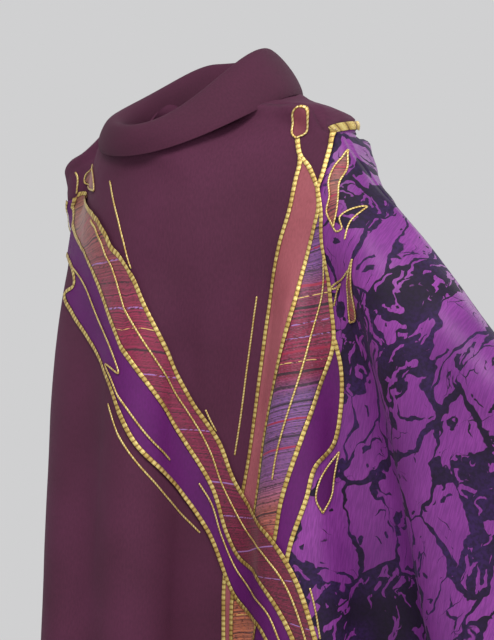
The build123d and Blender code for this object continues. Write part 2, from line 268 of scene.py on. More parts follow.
def new_object(name, mesh):
    data = bpy.data.meshes.new(name)
    mesh.to_mesh(data)
    mesh.free()
    obj = bpy.data.objects.new(name, data)
    bpy.context.scene.collection.objects.link(obj)
    return obj


def collide(obj, friction):
    obj.modifiers.new("collide", "COLLISION")
    obj.collision.thickness_outer = 0.006
    obj.collision.cloth_friction = friction


def let_fall(places, rest, faces, pins):
    """Drapes the cloth over the figure and returns where its corners end."""
    data = bpy.data.meshes.new("falling")
    data.from_pydata(places.tolist(), [], faces)
    cloth = bpy.data.objects.new("falling", data)
    scene = bpy.context.scene
    scene.collection.objects.link(cloth)
    cloth.shape_key_add(name="start")
    flat = cloth.shape_key_add(name="cut")
    flat.data.foreach_set("co", rest.astype(np.float32).ravel())
    flat.value = 0
    group = cloth.vertex_groups.new(name="collar_seam")
    group.add([int(number) for number in pins], 1.0, "REPLACE")
    helpers = [hidden_figure(), arranging_board()]
    modifier = cloth.modifiers.new("cloth", "CLOTH")
    settings = modifier.settings
    settings.quality = 6
    settings.mass = 0.25
    settings.air_damping = 2
    settings.tension_stiffness = 25
    settings.compression_stiffness = 25
    settings.shear_stiffness = 6
    settings.bending_model = "LINEAR"
    settings.bending_stiffness = 2
    settings.tension_damping = 15
    settings.compression_damping = 15
    settings.shear_damping = 10
    settings.bending_damping = 2
    settings.vertex_group_mass = "collar_seam"
    settings.pin_stiffness = 1.0
    settings.rest_shape_key = flat
    contact = modifier.collision_settings
    contact.use_collision = True
    contact.distance_min = 0.006
    contact.collision_quality = 3
    contact.use_self_collision = True
    contact.self_distance_min = 0.006
    modifier.point_cache.frame_start = 1
    modifier.point_cache.frame_end = FRAMES
    scene.frame_start = 1
    scene.frame_end = FRAMES
    for time in range(1, FRAMES + 1):
        scene.frame_set(time)
    graph = bpy.context.evaluated_depsgraph_get()
    fallen = cloth.evaluated_get(graph).to_mesh()
    result = np.array([vert.co[:] for vert in fallen.vertices])
    scene.frame_set(1)
    for obj in (cloth, *helpers):
        bpy.data.objects.remove(obj)
    return result


def draped_grids():
    """The draped corners of each side by column and row, with the neck hole filled smoothly."""
    cells = cloth_cells()
    keys = sorted({key for cell in cells for key in cell}, key=lambda k: (-k[0], k[1], k[2]))
    number_of = {key: number for number, key in enumerate(keys)}
    faces = [[number_of[key] for key in cell] for cell in cells]
    start = np.array([tent_place(key, False) for key in keys])
    rest = np.array([tent_place(key, True) for key in keys])
    pins = neckline_pins(cells, keys)
    places = moved_to_ring(start, keys, pins)
    places = let_fall(places, rest, faces, pins)
    grids = {side: np.full((COLUMNS + 1, max(ROWS) + 1, 3), np.nan) for side in (FRONT, BACK)}
    for key, place in zip(keys, places):
        grids[key[0]][key[1], key[2]] = place
    grids[BACK][:, 0] = grids[FRONT][:, 0]
    for grid in grids.values():
        fill_hole(grid)
    settle(grids)
    return grids


def settle(grids):
    """Sinks the cloth at the right shoulder and behind the left, and calms the rose band's head."""
    rows = np.array(ROWS)[:, None]
    share = np.minimum(1, np.arange(max(ROWS) + 1)[None, :] / rows)
    across = COLUMN_ACROSS[:, None]
    below = share * (hem(across) - shoulder(across))

    def patch(centre, start, width, height):
        """1 in the middle of a place on the cloth, fading out over its width and height."""
        return np.exp(-(((across - centre) / width) ** 2) - ((below - start) / height) ** 2)

    for grid in grids.values():
        grid[:, :, 2] -= RIGHT_SINK * patch(-0.212, 0, 0.062, 0.058)
    behind = patch(0.205, 0, 0.07, 0.07) * np.minimum(1, below / 0.04)
    grids[BACK][:, :, 2] -= LEFT_SINK * behind
    inner = 0.5 * patch(0.21, 0.09, 0.07, 0.08)[1:-1, 1:-1, None]
    for _ in range(CALM_TURNS):
        grid = grids[FRONT]
        average = (grid[:-2, 1:-1] + grid[2:, 1:-1] + grid[1:-1, :-2] + grid[1:-1, 2:]) / 4
        grid[1:-1, 1:-1] += inner * (average - grid[1:-1, 1:-1])


def fill_hole(grid):
    """Stretches a smooth skin over the neck hole and repeats the last corner of each column."""
    inside = np.zeros(grid.shape[:2], bool)
    for column, count in enumerate(ROWS):
        inside[column, : count + 1] = True
    missing = np.isnan(grid[:, :, 0]) & inside
    grid[missing] = (0, 0, 0.03)
    for _ in range(SKIN_TURNS):
        around = (
            np.roll(grid, 1, 0) + np.roll(grid, -1, 0) + np.roll(grid, 1, 1) + np.roll(grid, -1, 1)
        ) / 4
        top = (np.roll(grid, 1, 0)[:, 0] + np.roll(grid, -1, 0)[:, 0]) / 2
        around[:, 0] = top
        grid[missing] = around[missing]
    for column, count in enumerate(ROWS):
        grid[column, count + 1 :] = grid[column, count]


GRIDS = draped_grids()
FEEL = 0.004


def cubic(t):
    """Weights of four neighbours for a smooth curve through the middle two."""
    return (
        (-t + 2 * t**2 - t**3) / 2,
        (2 - 5 * t**2 + 3 * t**3) / 2,
        (t + 4 * t**2 - 3 * t**3) / 2,
        (-(t**2) + t**3) / 2,
    )


def read_cloth(across, down, side):
    """The draped places of arrays of pattern points."""
    across, down = np.broadcast_arrays(np.asarray(across, float), np.asarray(down, float))
    beyond = shoulder(across) - down
    if side == FRONT and np.any(beyond > 0):
        behind = read_cloth(across, shoulder(across) + np.abs(beyond), BACK)
        ahead = read_cloth(across, shoulder(across) + np.abs(beyond), FRONT)
        return np.where((beyond > 0)[..., None], behind, ahead)
    rows = np.array(ROWS)
    x = np.clip((across + HALF_WIDTH) / (2 * HALF_WIDTH) * COLUMNS, 0, COLUMNS)
    column = np.minimum(x.astype(int), COLUMNS - 1)
    share = np.clip((down - shoulder(across)) / (hem(across) - shoulder(across)), 0, 1)
    place = np.zeros((*across.shape, 3))
    for step, weight in zip((-1, 0, 1, 2), cubic(x - column)):
        near = np.clip(column + step, 0, COLUMNS)
        y = share * rows[near]
        row = np.minimum(y.astype(int), rows[near] - 1)
        for fall, height in zip((-1, 0, 1, 2), cubic(y - row)):
            level = np.minimum(row + fall, rows[near])
            over = level < 0
            point = np.where(
                over[..., None], GRIDS[-side][near, np.abs(level)], GRIDS[side][near, np.abs(level)]
            )
            place += (weight * height)[..., None] * point
    return place


def on_cloth(across, down, side=FRONT, lift=0.0):
    """Places lifted off the outer side of the draped cloth."""
    right = read_cloth(across + FEEL, down, side) - read_cloth(across - FEEL, down, side)
    below = read_cloth(across, down + FEEL, side) - read_cloth(across, down - FEEL, side)
    outward = np.cross(right, below) * -side
    outward /= np.linalg.norm(outward, axis=-1, keepdims=True) + 1e-9
    return read_cloth(across, down, side) + outward * np.asarray(lift)[..., None]


# Materials
def tone(red, green, blue):
    """A colour given in display values of 0 to 255."""
    parts = []
    for value in (red, green, blue):
        value /= 255
        parts.append(value / 12.92 if value <= 0.04045 else ((value + 0.055) / 1.055) ** 2.4)
    return (*parts, 1.0)


class Shader:
    """A material with its principled shader, and short ways to add and join nodes."""

    def __init__(self, name, **values):
        self.material = bpy.data.materials.new(name)
        self.material.use_nodes = True
        self.tree = self.material.node_tree
        self.surface = self.tree.nodes["Principled BSDF"]
        for label, value in values.items():
            label = label.replace("_", " ").title().replace("Ior", "IOR")
            self.surface.inputs[label].default_value = value

    def node(self, kind, *links, **settings):
        """Adds a node; links are (input, socket or value) pairs and settings its properties."""
        node = self.tree.nodes.new("ShaderNode" + kind)
        for label, value in settings.items():
            setattr(node, label, value)
        for label, value in links:
            if isinstance(value, bpy.types.NodeSocket):
                self.tree.links.new(value, node.inputs[label])
            else:
                node.inputs[label].default_value = value
        return node

    def put(self, label, socket):
        self.tree.links.new(socket, self.surface.inputs[label])

    def read(self, name):
        """The vector that the mesh carries under this name."""
        return self.node("Attribute", attribute_name=name).outputs["Vector"]

    def part(self, vector, axis):
        return self.node("SeparateXYZ", ("Vector", vector)).outputs[axis]

    def maths(self, operation, first, second=0.0, third=0.0):
        links = ((0, first), (1, second), (2, third))
        return self.node("Math", *links, operation=operation).outputs[0]

    def noise(self, vector, scale, detail=2.0, rough=0.5, warp=0.0):
        links = (("Vector", vector), ("Scale", scale), ("Detail", detail), ("Roughness", rough))
        return self.node("TexNoise", *links, ("Distortion", warp)).outputs["Fac"]

    def stretch(self, vector, x, y, turn=0.0):
        links = (("Vector", vector), ("Rotation", (0, 0, turn)), ("Scale", (x, y, 1.0)))
        return self.node("Mapping", *links).outputs["Vector"]

    def tangle(self, vector, cut, scale, detail, reach):
        """The vector moved about by a noise over the cut, by up to the reach."""
        links = (("Vector", cut), ("Scale", scale), ("Detail", detail))
        swirl = self.node("TexNoise", *links).outputs["Color"]
        links = ((0, swirl), (1, (reach, reach, 0.0)), (2, vector))
        return self.node("VectorMath", *links, operation="MULTIPLY_ADD").outputs[0]

    def ramp(self, factor, *stops):
        """A colour or grey ramp; each stop is (position, colour)."""
        node = self.node("ValToRGB", ("Fac", factor))
        elements = node.color_ramp.elements
        while len(elements) < len(stops):
            elements.new(0.5)
        for element, (position, colour) in zip(elements, stops):
            element.position = position
            element.color = colour if isinstance(colour, tuple) else (colour,) * 3 + (1.0,)
        return node.outputs["Color"]

    def blend(self, share, first, second, mode="MIX"):
        node = self.node("Mix", data_type="RGBA", blend_type=mode)
        for index, value in ((0, share), (6, first), (7, second)):
            if isinstance(value, bpy.types.NodeSocket):
                self.tree.links.new(value, node.inputs[index])
            else:
                node.inputs[index].default_value = value
        return node.outputs[2]

    def bump(self, height, distance, strength=0.5):
        links = (("Height", height), ("Distance", distance), ("Strength", strength))
        self.put("Normal", self.node("Bump", *links).outputs["Normal"])


FULL_TURN = 6.283


def weave_height(shader, cut, threads):
    """A plain weave of that many threads a metre, as a height."""
    across, down = [
        shader.maths("SINE", shader.maths("MULTIPLY", shader.part(cut, axis), threads * FULL_TURN))
        for axis in (0, 1)
    ]
    grain = shader.noise(cut, 700, 3)
    return shader.maths("MULTIPLY_ADD", grain, 1.6, shader.maths("MULTIPLY", across, down))


def plain_cloth(name, colour, shade, sheen, roughness=0.8, threads=900):
    shader = Shader(
        name, roughness=roughness, specular_ior_level=0.25,
        sheen_weight=sheen, sheen_roughness=0.45, sheen_tint=tone(190, 140, 170),
    )
    cut = shader.read("cut")
    cloudy = shader.noise(cut, 6, 3)
    fine = shader.noise(shader.stretch(cut, 1.0, 0.35), 420, 2)
    base = shader.blend(shader.ramp(cloudy, (0.35, 0.0), (0.7, 1.0)), shade, colour)
    base = shader.blend(0.16, base, shader.ramp(fine, (0.3, 0.25), (0.7, 0.9)), "OVERLAY")
    shader.put("Base Color", base)
    shader.bump(weave_height(shader, cut, threads), 0.0003, 0.35)
    return shader.material


def jacquard_cloth():
    """Large pale leaf-like cells on a dark ground, with dark cracks and small scattered shapes."""
    shader = Shader("jacquard", sheen_weight=0.02, sheen_roughness=0.4, specular_ior_level=0.3)
    cut = shader.read("cut")
    tangle = shader.tangle(cut, cut, 8.0, 3.0, 0.15)
    tangle = shader.tangle(tangle, cut, 55.0, 2.0, 0.016)
    slanted = shader.stretch(tangle, 1.3, 0.75, 0.5)

    def cells(scale, **settings):
        links = (("Vector", slanted), ("Scale", scale))
        return shader.node("TexVoronoi", *links, voronoi_dimensions="2D", **settings).outputs

    leaves = cells(13.5)["Color"]
    cracks = cells(13.5, feature="DISTANCE_TO_EDGE")["Distance"]
    veins = cells(31.0, feature="DISTANCE_TO_EDGE")["Distance"]
    chance = shader.node("SeparateColor", ("Color", leaves)).outputs[0]
    swelling = shader.noise(cut, 16, 2, 0.6)
    body = shader.ramp(
        shader.maths("MULTIPLY_ADD", swelling, 0.30, cracks), (0.195, 0.0), (0.205, 1.0)
    )
    veined = shader.maths("MULTIPLY_ADD", shader.noise(cut, 21, 2), 0.26, veins)
    veined = shader.ramp(veined, (0.11, 0.0), (0.125, 1.0))
    pale_cell = shader.maths("GREATER_THAN", chance, 0.30)
    scraps = shader.noise(shader.stretch(tangle, 1.5, 0.7), 44, 2, 0.5, 0.6)
    specks = shader.ramp(scraps, (0.56, 0.0), (0.57, 1.0))
    holes = shader.ramp(shader.noise(tangle, 30, 2, 0.5, 0.8), (0.37, 0.0), (0.38, 1.0))
    pale = shader.maths("MULTIPLY", shader.maths("MULTIPLY", body, veined), pale_cell)
    pale = shader.maths("MULTIPLY", pale, holes)
    dark_part = shader.maths("SUBTRACT", 1.0, pale_cell)
    pale = shader.maths("MAXIMUM", pale, shader.maths("MULTIPLY", specks, dark_part))
    mottle = shader.noise(cut, 9, 2)
    ground = shader.blend(
        shader.ramp(mottle, (0.38, 0.0), (0.62, 1.0)), tone(26, 8, 40), tone(48, 20, 74)
    )
    ground = shader.blend(
        shader.ramp(shader.noise(cut, 190, 3), (0.42, 0.0), (0.60, 0.55)), ground, tone(16, 5, 24)
    )
    figure = shader.blend(
        shader.ramp(shader.noise(cut, 5, 2), (0.35, 0.0), (0.65, 1.0)),
        tone(112, 42, 122), tone(138, 58, 146),
    )
    twill = shader.stretch(cut, 1.0, 0.1, 0.9)
    ribs = shader.ramp(shader.noise(twill, 520, 2), (0.40, 0.0), (0.60, 0.45))
    figure = shader.blend(ribs, figure, tone(84, 30, 98))
    shader.put("Base Color", shader.blend(pale, ground, figure))
    shader.put("Roughness", shader.ramp(pale, (0.0, 0.72), (1.0, 0.46)))
    threads = shader.noise(shader.stretch(cut, 1.0, 0.2), 900, 2)
    shader.bump(shader.maths("MULTIPLY_ADD", pale, 0.6, threads), 0.0004, 0.4)
    return shader.material


def brocade_cloth(name, bands, lines, speck, slant):
    """Stripes across a band. bands are (metres along, red, green, blue), with display values,
    and lines are (metres along, width, colour, whether it is broken into dashes)."""
    shader = Shader(name, roughness=0.55, sheen_weight=0.1)
    run = shader.read("run")
    along = shader.maths("MULTIPLY_ADD", shader.part(run, 1), slant, shader.part(run, 0))
    wavy = shader.maths("MULTIPLY_ADD", shader.noise(run, 25, 1), 0.006, along)
    longest = bands[-1][0]
    share = shader.maths("DIVIDE", wavy, longest)
    colour = shader.ramp(share, *[(metres / longest, tone(*rgb)) for metres, *rgb in bands])
    stripe = shader.node("CombineXYZ", (0, wavy), (1, 0.0)).outputs[0]
    streak = shader.noise(stripe, 330, 2, 0.8)
    colour = shader.blend(1.0, colour, shader.ramp(streak, (0.36, 0.02), (0.60, 0.74)), "OVERLAY")
    dashes = shader.noise(shader.stretch(run, 420.0, 130.0), 1.0, 2)
    threads = shader.noise(shader.stretch(run, 900.0, 260.0), 1.0, 2)
    colour = shader.blend(shader.ramp(threads, (0.52, 0.0), (0.66, 0.55)), colour, speck)
    colour = shader.blend(shader.ramp(dashes, (0.30, 0.75), (0.46, 0.0)), colour, tone(30, 8, 22))
    for metres, width, value, broken in lines:
        near = shader.maths("ABSOLUTE", shader.maths("SUBTRACT", wavy, metres))
        mask = shader.maths("LESS_THAN", near, width / 2)
        if broken:
            mask = shader.maths("MULTIPLY", mask, shader.maths("GREATER_THAN", dashes, 0.47))
        colour = shader.blend(shader.maths("MULTIPLY", mask, 0.85), colour, value)
    shader.put("Base Color", colour)
    shader.bump(shader.maths("ADD", threads, dashes), 0.0005, 0.5)
    return shader.material


def gold_thread(name, pitch, painted_highlight, middle, gap, twist=0.0):
    """Metal thread with a light and a dark part in each pitch: the light middle is a painted
    highlight on the crown of each twist, and the dark gap is painted shade in the groove between
    twists.
    """
    shader = Shader(name, metallic=0.55, roughness=0.38)
    run = shader.read("run")
    along = shader.maths("MULTIPLY_ADD", shader.part(run, 1), twist, shader.part(run, 0))
    count = shader.maths("DIVIDE", along, pitch)
    place = shader.maths("FRACT", count)
    number = shader.node("CombineXYZ", (0, shader.maths("FLOOR", count))).outputs[0]
    chance = shader.node("TexWhiteNoise", ("Vector", number)).outputs["Value"]
    # Painted light: the light colour in the middle of each pitch is a painted highlight, and the
    # gap colour at its ends is painted shade in the groove.
    bead = shader.ramp(place, (0.0, gap), (0.12, middle), (0.45, painted_highlight), (0.86, middle), (1.0, gap))
    dull = shader.blend(0.65, bead, middle, "MULTIPLY")
    colour = shader.blend(shader.ramp(chance, (0.45, 0.0), (0.75, 0.8)), bead, dull)
    grain = shader.noise(shader.stretch(run, 2600.0, 1500.0), 1.0, 2)
    colour = shader.blend(0.5, colour, shader.ramp(grain, (0.3, 0.2), (0.7, 0.95)), "OVERLAY")
    shader.put("Base Color", colour)
    shader.bump(grain, 0.0005, 0.6)
    return shader.material


PLUM = plain_cloth("plum", tone(80, 34, 60), tone(70, 29, 51), 0.03)
COLLAR_PLUM = plain_cloth("collar_plum", tone(72, 29, 52), tone(63, 25, 45), 0.02)
PURPLE = plain_cloth("purple", tone(94, 18, 98), tone(80, 14, 84), 0.03, 0.6)
ROSE = plain_cloth("rose", tone(160, 88, 98), tone(138, 70, 78), 0.04, 0.6)
LEAF_ROSE = plain_cloth("leaf_rose", tone(126, 60, 70), tone(92, 34, 52), 0.05, 0.6)
JACQUARD = jacquard_cloth()
BLACK = tone(26, 8, 24)
CRIMSON = tone(150, 22, 58)
LAVENDER = tone(150, 110, 175)
GOLD = tone(214, 180, 100)
RIGHT_BROCADE = brocade_cloth(
    "right_brocade",
    [
        (0.0, 140, 88, 68), (0.10, 138, 80, 66), (0.18, 132, 66, 66),
        (0.26, 120, 38, 62), (0.34, 128, 16, 58), (0.44, 116, 12, 54),
        (0.60, 104, 14, 52), (0.78, 96, 12, 42), (1.05, 80, 10, 32),
    ],
    [
        (0.045, 0.003, BLACK, False), (0.10, 0.003, BLACK, False), (0.125, 0.003, CRIMSON, False),
        (0.17, 0.003, BLACK, False), (0.215, 0.003, LAVENDER, True), (0.255, 0.003, BLACK, True),
        (0.30, 0.003, LAVENDER, True), (0.335, 0.0014, GOLD, True), (0.37, 0.003, BLACK, False),
        (0.41, 0.0022, LAVENDER, True), (0.50, 0.0018, LAVENDER, True),
        (0.585, 0.0022, LAVENDER, False), (0.64, 0.0018, LAVENDER, True),
        (0.70, 0.0022, LAVENDER, False), (0.76, 0.0014, LAVENDER, True),
        (0.83, 0.0014, LAVENDER, True), (0.90, 0.0014, LAVENDER, True),
    ],
    tone(150, 34, 80), -0.55,
)
LEAF_BROCADE = brocade_cloth(
    "leaf_brocade",
    [
        (0.0, 140, 84, 70), (0.03, 128, 50, 62), (0.06, 146, 84, 70),
        (0.09, 120, 40, 54), (0.13, 146, 84, 70),
    ],
    [
        (0.012, 0.0022, BLACK, False), (0.03, 0.003, CRIMSON, False), (0.052, 0.0022, BLACK, False),
        (0.075, 0.003, CRIMSON, False), (0.095, 0.0022, BLACK, False),
    ],
    tone(150, 90, 80), 0.3,
)
LEFT_BROCADE = brocade_cloth(
    "left_brocade",
    [
        (0.0, 100, 56, 112), (0.11, 104, 60, 122), (0.14, 112, 32, 68),
        (0.20, 124, 16, 56), (0.26, 122, 24, 58), (0.29, 108, 68, 126),
        (0.40, 116, 66, 124), (0.45, 160, 84, 74), (0.56, 176, 96, 62),
        (0.80, 160, 104, 80), (1.02, 140, 74, 78),
    ],
    [
        (0.03, 0.003, CRIMSON, True), (0.06, 0.003, BLACK, False), (0.085, 0.003, CRIMSON, True),
        (0.115, 0.003, BLACK, True), (0.135, 0.004, CRIMSON, False), (0.15, 0.0014, GOLD, True),
        (0.165, 0.004, BLACK, False), (0.185, 0.0018, LAVENDER, True),
        (0.205, 0.0018, LAVENDER, True), (0.225, 0.003, CRIMSON, False),
        (0.24, 0.0014, GOLD, True), (0.255, 0.004, BLACK, False), (0.275, 0.003, BLACK, False),
        (0.30, 0.003, BLACK, False), (0.325, 0.003, CRIMSON, False), (0.35, 0.003, BLACK, False),
        (0.365, 0.003, CRIMSON, False), (0.415, 0.002, BLACK, True), (0.455, 0.003, BLACK, False),
        (0.485, 0.002, CRIMSON, True), (0.505, 0.0014, GOLD, True), (0.53, 0.003, CRIMSON, True),
        (0.60, 0.0014, GOLD, True), (0.66, 0.003, BLACK, False), (0.72, 0.003, CRIMSON, False),
    ],
    tone(140, 84, 110), 0.25,
)
BRAID_PITCH = 0.0072
CORD_PITCH = 0.0042
# In each gold thread the first colour is a painted highlight and the last is painted shade in the
# grooves between pitches.
BRAID = gold_thread(
    "gold_braid", BRAID_PITCH, tone(214, 194, 122), tone(182, 154, 82), tone(88, 54, 36)
)
CORD = gold_thread(
    "gold_cord", CORD_PITCH, tone(226, 206, 140), tone(196, 168, 96), tone(120, 84, 50), 1.2
)


# Meshes
CLOTH_THICK = 0.0014
BAND_THICK = 0.0006


def grid_piece(name, places, material, cut=None, run=None, thickness=0.0, closed=False):
    """A mesh over a grid of places, with the pattern and run coordinates it carries."""
    rows, columns = places.shape[:2]
    numbers = np.arange(rows * columns).reshape(rows, columns)
    beside = np.roll(numbers, -1, 1)
    corners = np.stack([numbers[:-1], numbers[1:], beside[1:], beside[:-1]], -1)
    if not closed:
        corners = corners[:, :-1]
    data = bpy.data.meshes.new(name)
    data.from_pydata(places.reshape(-1, 3).tolist(), [], corners.reshape(-1, 4).tolist())
    for label, values in (("cut", cut), ("run", run)):
        if values is not None:
            flat = np.zeros((rows * columns, 3), np.float32)
            flat[:, : values.shape[-1]] = values.reshape(rows * columns, -1)
            layer = data.attributes.new(label, "FLOAT_VECTOR", "POINT")
            layer.data.foreach_set("vector", flat.ravel())
    data.shade_smooth()
    data.materials.append(material)
    piece = bpy.data.objects.new(name, data)
    bpy.context.scene.collection.objects.link(piece)
    if thickness:
        solid = piece.modifiers.new("thickness", "SOLIDIFY")
        solid.thickness = thickness
        solid.offset = -1
    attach(piece, "root")
    return piece


def turned_out(places, side):
    """The grid ordered so that its faces look away from the wearer."""
    return places if side == FRONT else places[:, ::-1]


def panel(node, side, left, right, columns, rows, material):
    """One body panel between two edges; left and right give across positions for a share."""
    share, along = np.meshgrid(np.linspace(0, 1, rows), np.linspace(0, 1, columns), indexing="ij")
    across = mix(left(share), right(share), along)
    inner = np.clip(1 - (across / NECK_HALF) ** 2, 0, 1)
    top = np.maximum(shoulder(across), NECK_DROP[side] * np.sqrt(inner))
    down = mix(top, hem(across), share)
    across, down = turned_out(across, side), turned_out(down, side)
    places = on_cloth(across, down, side)
    cut = np.stack([across, down], -1)
    piece = grid_piece(node + "_look", places, material, cut=cut, thickness=CLOTH_THICK)
    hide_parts(node)
    return piece


def seam_at(side):
    """The seam's across position for a share of the way down it."""
    return lambda share: seam(mix(shoulder(0.25), hem(0.30), share), side)


def left_edge(share):
    return np.full_like(share, HALF_WIDTH)


def right_edge(share):
    return np.full_like(share, -HALF_WIDTH)


for side, word in ((FRONT, "front"), (BACK, "back")):
    edge = seam_at(side)
    panel(f"{word}_body_panel", side, right_edge, edge, 170, 170, PLUM)
    panel(f"{word}_side_panel", side, edge, left_edge, 80, 150, JACQUARD)


# Collar: a deep band folded outwards over itself, higher at the back than at the front
COLLAR_BEND = 0.42
COLLAR_THICK = 0.0035
COLLAR_EDGE = 0.0016
COLLAR_DENT = 0.0022


def rise(angle, speed):
    """0 at the centre front and 1 at the back of a loop, reached sooner at a higher speed."""
    return (1 - np.cos(np.minimum(np.pi, speed * np.abs(angle)))) / 2


def loop(x, y, z):
    return np.stack(np.broadcast_arrays(x, y, z), -1) / 1000


def bezier(first, second, third, fourth, t):
    r = 1 - t
    return first * r**3 + second * (3 * r * r * t) + third * (3 * r * t * t) + fourth * t**3


def collar():
    """The folded collar, sewn around the neckline and joined at the centre back."""
    angle = np.linspace(-np.pi, np.pi, 260)[None, :]
    share = np.linspace(0, 1, 64)[:, None, None]
    s, c = np.sin(angle), np.cos(angle)
    neck = loop(97 * s, -107 * c - 13 * c * c, -2 - 41 * c - 13 * c * c)
    fold = loop(
        (109 - 9 * s) * s, -127.5 * c - 15.5 * c * c, -28 + 124 * rise(angle, 1.3 + 0.3 * s)
    )
    edge = loop(
        (151.5 + 8.5 * s) * s, -139 * c - 11 * c * c, -69 + 94 * rise(angle, 1.45 + 0.15 * s)
    )
    outward = (edge - neck) * (1, 1, 0)
    outward /= np.linalg.norm(outward, axis=-1, keepdims=True)
    roll = ((5 + 6 * (1 - s)) / 1000)[..., None]
    up = np.array([0, 0, 1.0])
    inner_height = (fold - neck)[..., 2:] * 0.55
    outer_height = (fold - edge)[..., 2:] * 0.3
    bulge = (0.008 * (1 - s) / 2)[..., None]
    t_in = np.minimum(1, share / COLLAR_BEND)
    t_out = np.maximum(0, (share - COLLAR_BEND) / (1 - COLLAR_BEND))
    inside = bezier(neck, neck + up * inner_height, fold - outward * roll * 0.7, fold, t_in)
    outside = bezier(
        fold, fold + outward * roll, edge + up * outer_height + outward * bulge, edge, t_out
    )
    places = np.where(share < COLLAR_BEND, inside, outside)
    dent = COLLAR_DENT * np.sin(angle * 3.0 + 0.6) * np.sin(np.pi * t_out[..., 0]) ** 2
    places = places + outward * dent[..., None]
    cut = np.stack(np.broadcast_arrays(angle * 0.13, share[..., 0] * 0.2), -1)
    piece = grid_piece("collar", places, COLLAR_PLUM, cut=cut)
    solid = piece.modifiers.new("thickness", "SOLIDIFY")
    solid.thickness = COLLAR_THICK
    solid.offset = 1
    bevel = piece.modifiers.new("soft_edge", "BEVEL")
    bevel.width = COLLAR_EDGE
    bevel.segments = 3
    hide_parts("collar_outer_cloth", "collar_interlining", "collar_under_cloth")
    return piece


# Lines in the pattern, and the bands, braids and cords that lie along them
def line(*points, step=0.004):
    """Evenly spaced points, in metres, of a smooth line through points in millimetres."""
    known = np.array(points, float) / 1000
    if len(known) == 2:
        dense = np.linspace(known[0], known[1], 60)
    else:
        ends = np.vstack([2 * known[0] - known[1], known, 2 * known[-1] - known[-2]])
        gaps = np.sqrt(np.linalg.norm(np.diff(ends, axis=0), axis=1))
        times = np.concatenate([[0], np.cumsum(gaps)])
        dense = np.vstack([
            pass_through(ends[i : i + 4], times[i : i + 4], 24) for i in range(len(known) - 1)
        ])
    lengths = np.concatenate([[0], np.cumsum(np.linalg.norm(np.diff(dense, axis=0), axis=1))])
    count = max(4, int(lengths[-1] / step) + 1)
    even = np.linspace(0, lengths[-1], count)
    return np.stack([np.interp(even, lengths, dense[:, axis]) for axis in (0, 1)], -1)


def pass_through(points, times, count):
    """A smooth stretch from the second to the third of four points."""
    t = np.linspace(times[1], times[2], count, endpoint=True)[:, None]

    def between(first, second, start, end):
        return first * (end - t) / (end - start) + second * (t - start) / (end - start)

    a = [between(points[i], points[i + 1], times[i], times[i + 1]) for i in range(3)]
    b = [between(a[i], a[i + 1], times[i], times[i + 2]) for i in range(2)]
    return between(b[0], b[1], times[1], times[2])


def along_of(points):
    """How far along the line each of its points is."""
    return np.concatenate([[0], np.cumsum(np.linalg.norm(np.diff(points, axis=0), axis=1))])


def resampled(points, count):
    along = along_of(points)
    even = np.linspace(0, along[-1], count)
    return np.stack([np.interp(even, along, points[:, axis]) for axis in (0, 1)], -1)


def band(node, left, right, lift, material, slot, flat, area=None):
    """A flat piece of cloth sewn on the front between two lines."""
    count = max(12, int(along_of(left)[-1] / 0.005))
    left, right = resampled(left, count), resampled(right, count)
    share = np.linspace(0, 1, 14)[None, :, None]
    pattern = left[:, None] * (1 - share) + right[:, None] * share
    width = np.linalg.norm(right - left, axis=1)
    along = along_of((left + right) / 2)
    run = np.stack(np.broadcast_arrays(along[:, None], width[:, None] * (share[..., 0] - 0.5)), -1)
    rounded = lift - BAND_THICK * np.abs(2 * share[..., 0] - 1) ** 6
    rounded = np.broadcast_to(rounded, run.shape[:2])
    places = on_cloth(pattern[..., 0], pattern[..., 1], FRONT, rounded)
    piece = grid_piece(
        node + "_look", places, material, cut=pattern, run=run, thickness=BAND_THICK
    )
    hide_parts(node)
    area = area or float(np.sum(width[1:] * np.diff(along)))
    return piece


def ribbon(node, points, width, height, lift, material, bead=0.0, pitch=1.0):
    """A braid or cord laid along a line, its section swelling once in each pitch."""
    along = along_of(points)
    way = np.gradient(points, axis=0)
    way /= np.linalg.norm(way, axis=1, keepdims=True) + 1e-9
    aside = np.stack([-way[:, 1], way[:, 0]], -1)
    swell = 1 - bead + bead * np.abs(np.sin(np.pi * along / pitch)) ** 0.7
    swell[0] = swell[-1] = 0.25
    turn = np.linspace(0, 2 * np.pi, 13)[:-1]
    out = np.cos(turn)[None, :] * (width / 2) * (0.72 + 0.28 * swell)[:, None]
    up = (np.sin(turn)[None, :] * height / 2) * swell[:, None] + lift + height / 2
    pattern = points[:, None] + aside[:, None] * out[..., None]
    places = on_cloth(pattern[..., 0], pattern[..., 1], FRONT, up)
    around = np.broadcast_to(turn * width / 4, out.shape)
    run = np.stack(np.broadcast_arrays(along[:, None], around), -1)
    piece = grid_piece(node + "_look", places, material, run=run, closed=True)
    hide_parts(node)
    return piece


def braid(node, points, lift):
    return ribbon(node, points, 0.0060, 0.0011, lift, BRAID, 0.05, BRAID_PITCH)


def cord(node, points, lift):
    return ribbon(node, points, 0.0027, 0.0020, lift, CORD, 0.12, CORD_PITCH)


